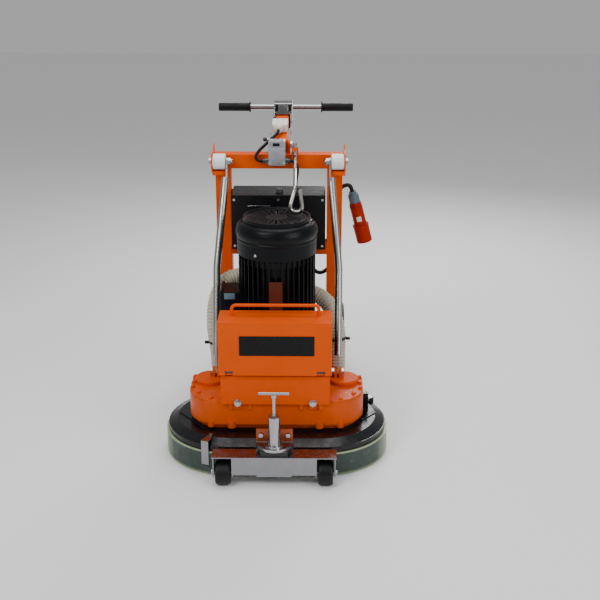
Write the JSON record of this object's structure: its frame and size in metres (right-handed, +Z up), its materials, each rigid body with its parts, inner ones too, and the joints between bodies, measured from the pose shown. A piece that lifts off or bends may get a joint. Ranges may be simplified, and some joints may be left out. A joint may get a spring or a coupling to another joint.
{
  "type": "floor grinder",
  "caption": "Walk-behind floor grinder: geared multi-head deck with rubber skirt, electric motor, weight box, jack dolly, wheeled tube frame and folding T-bar mast.",
  "frame": {"origin": "on the floor under the middle of the machine's length and width", "axes": "+X across to the machine's right as seen from its front, -Y towards its working front, +Z up"},
  "size_m": [0.8278, 1.159, 1.176],
  "materials": {
    "skirt_rubber": "dark green translucent rubber",
    "black_paint": "black powder coat",
    "stainless": "brushed stainless",
    "orange_paint": "orange powder coat",
    "ground_steel": "ground",
    "gear_steel": "machined, oiled",
    "motor_black": "satin black paint",
    "black_plastic": "moulded",
    "cast_iron": "as cast",
    "plate_black": "blank black plate",
    "zinc": "bright zinc plate",
    "chrome": "polished",
    "cabinet_paint": "satin black paint",
    "brass": "nickel and plain brass",
    "aluminium": "cast, bead blasted",
    "hose": "corrugated, beige",
    "grip_rubber": "matt",
    "white_plastic": "moulded",
    "red_plastic": "moulded",
    "green_plastic": "moulded",
    "cable_rubber": "matt sheath",
    "blue_plastic": "moulded",
    "disc_steel": "machined steel with diamond segments",
    "nylon": "white nylon",
    "tyre": "solid rubber tyre on a moulded hub",
    "wheel_rubber": "solid rubber"
  },
  "bodies": {
    "frame": {"dust_skirt": "skirt_rubber", "dust_pan": "black_paint", "skirt_clips": "stainless", "gearbox_base": "black_paint", "gearbox_casting": "orange_paint", "casting_screws": "orange_paint", "bearing_caps": "orange_paint", "shaft_bearings": "ground_steel", "motor_housing": "motor_black", "motor_cowl": "motor_black", "terminal_box": "motor_black", "front_bracket": "orange_paint", "rear_frame": "orange_paint", "frame_bolts": "zinc", "struts": "chrome", "cabinet_shell": "cabinet_paint", "cabinet_front": "cabinet_paint", "inverter": "black_plastic", "cable_glands": "brass", "junction_box": "aluminium", "dust_manifold": "black_paint", "dust_hoses": "hose", "dolly_mount": "chrome", "operator_cable": "cable_rubber", "link_cable": "cable_rubber", "power_lead": "cable_rubber", "plug_collar": "blue_plastic", "plug_body": "red_plastic"},
    "weight_stack": {"weight_box": "orange_paint", "ballast_plates": "cast_iron", "blank_plate": "plate_black"},
    "motor_rotor": {"rotor_shaft": "gear_steel", "cooling_fan": "black_plastic"},
    "idler_left": {"idler_gear_left": "gear_steel"},
    "idler_right": {"idler_gear_right": "gear_steel"},
    "door": {"cabinet_door": "cabinet_paint"},
    "hook": {"cable_hook": "stainless"},
    "dolly": {"dolly_carrier": "stainless"},
    "jack": {"jack_screw": "zinc"},
    "mast": {"mast_tube": "orange_paint", "mast_clamp": "stainless", "operator_box": "white_plastic"},
    "slide": {"mast_slide": "stainless", "handlebar": "chrome", "handle_grips": "grip_rubber"},
    "knob": {"clamp_knob": "black_plastic"},
    "stop": {"stop_button": "red_plastic"},
    "start": {"start_button": "green_plastic"},
    "head_left": {"head_spindle_left": "gear_steel", "grinding_disc_left": "disc_steel"},
    "head_centre": {"head_spindle_centre": "gear_steel", "grinding_disc_centre": "disc_steel"},
    "head_right": {"head_spindle_right": "gear_steel", "grinding_disc_right": "disc_steel"},
    "roller_left": {"transport_roller_left": "nylon"},
    "wheel_left": {"rear_wheel_left": "tyre"},
    "castor_left": {"dolly_wheel_left": "wheel_rubber"},
    "roller_right": {"transport_roller_right": "nylon"},
    "wheel_right": {"rear_wheel_right": "tyre"},
    "castor_right": {"dolly_wheel_right": "wheel_rubber"}
  },
  "joints": [
    {"name": "weight_lift", "type": "slide", "parent": "frame", "child": "weight_stack", "axis": [0, 0, 1], "range_m": [0, 0.12]},
    {"name": "motor_spin", "type": "hinge", "parent": "frame", "child": "motor_rotor", "pos_m": [0, -0.1155, 0.5], "axis": [0, 0, 1], "continuous": true},
    {"name": "idler_left_spin", "type": "hinge", "parent": "frame", "child": "idler_left", "pos_m": [-0.1078, -0.1682, 0.2], "axis": [0, 0, 1], "continuous": true},
    {"name": "idler_right_spin", "type": "hinge", "parent": "frame", "child": "idler_right", "pos_m": [0.119, -0.1308, 0.2], "axis": [0, 0, 1], "continuous": true},
    {"name": "head_left_spin", "type": "hinge", "parent": "frame", "child": "head_left", "pos_m": [-0.25, -0.1905, 0.1], "axis": [0, 0, 1], "continuous": true},
    {"name": "head_centre_spin", "type": "hinge", "parent": "frame", "child": "head_centre", "pos_m": [0, -0.2754, 0.1], "axis": [0, 0, 1], "continuous": true},
    {"name": "head_right_spin", "type": "hinge", "parent": "frame", "child": "head_right", "pos_m": [0.25, -0.1905, 0.1], "axis": [0, 0, 1], "continuous": true},
    {"name": "roller_left_spin", "type": "hinge", "parent": "frame", "child": "roller_left", "pos_m": [-0.226, 0.1295, 1.013], "axis": [1, 0, 0], "continuous": true},
    {"name": "wheel_left_spin", "type": "hinge", "parent": "frame", "child": "wheel_left", "pos_m": [-0.222, 0.4095, 0.17], "axis": [1, 0, 0], "continuous": true},
    {"name": "roller_right_spin", "type": "hinge", "parent": "frame", "child": "roller_right", "pos_m": [0.226, 0.1295, 1.013], "axis": [1, 0, 0], "continuous": true},
    {"name": "wheel_right_spin", "type": "hinge", "parent": "frame", "child": "wheel_right", "pos_m": [0.222, 0.4095, 0.17], "axis": [1, 0, 0], "continuous": true},
    {"name": "dolly_lift", "type": "slide", "parent": "frame", "child": "dolly", "axis": [0, 0, -1], "range_m": [0, 0.04]},
    {"name": "jack_turn", "type": "hinge", "parent": "dolly", "child": "jack", "pos_m": [0, -0.5205, 0.25], "axis": [0, 0, 1], "range_deg": [0, 4800]},
    {"name": "castor_left_spin", "type": "hinge", "parent": "dolly", "child": "castor_left", "pos_m": [-0.181, -0.5355, 0.044], "axis": [1, 0, 0], "continuous": true},
    {"name": "castor_right_spin", "type": "hinge", "parent": "dolly", "child": "castor_right", "pos_m": [0.181, -0.5355, 0.044], "axis": [1, 0, 0], "continuous": true},
    {"name": "door_swing", "type": "hinge", "parent": "frame", "child": "door", "pos_m": [-0.182, 0.2295, 0.79], "axis": [0, 0, 1], "range_deg": [0, 105]},
    {"name": "hook_swivel", "type": "hinge", "parent": "frame", "child": "hook", "pos_m": [0.063, 0.1475, 1.058], "axis": [0, 0, 1], "range_deg": [-30, 30]},
    {"name": "mast_tilt", "type": "hinge", "parent": "frame", "child": "mast", "pos_m": [0, 0.2095, 1.062], "axis": [1, 0, 0], "range_deg": [-15, 50], "deforming": ["operator_cable"]},
    {"name": "mast_extend", "type": "slide", "parent": "mast", "child": "slide", "axis": [0, 0.9681, 0.2504], "range_m": [0, 0.12]},
    {"name": "clamp_turn", "type": "hinge", "parent": "mast", "child": "knob", "pos_m": [-0.032, 0.25307, 1.07327], "axis": [1, 0, 0], "range_deg": [-180, 0]},
    {"name": "stop_press", "type": "slide", "parent": "mast", "child": "stop", "axis": [0, -0.9681, -0.2504], "range_m": [0, 0.004], "stiffness_N_per_m": 1500},
    {"name": "start_press", "type": "slide", "parent": "mast", "child": "start", "axis": [0, -0.9681, -0.2504], "range_m": [0, 0.0025], "stiffness_N_per_m": 1000}
  ],
  "couplings": [
    {"joint": "idler_left_spin", "follows": "motor_spin", "ratio": -0.36364},
    {"joint": "idler_right_spin", "follows": "motor_spin", "ratio": -0.36364},
    {"joint": "head_left_spin", "follows": "motor_spin", "ratio": 0.57143},
    {"joint": "head_right_spin", "follows": "motor_spin", "ratio": 0.57143},
    {"joint": "head_centre_spin", "follows": "motor_spin", "ratio": 0.5},
    {"joint": "jack_turn", "follows": "dolly_lift", "rad_per_m": 2094.4}
  ]
}
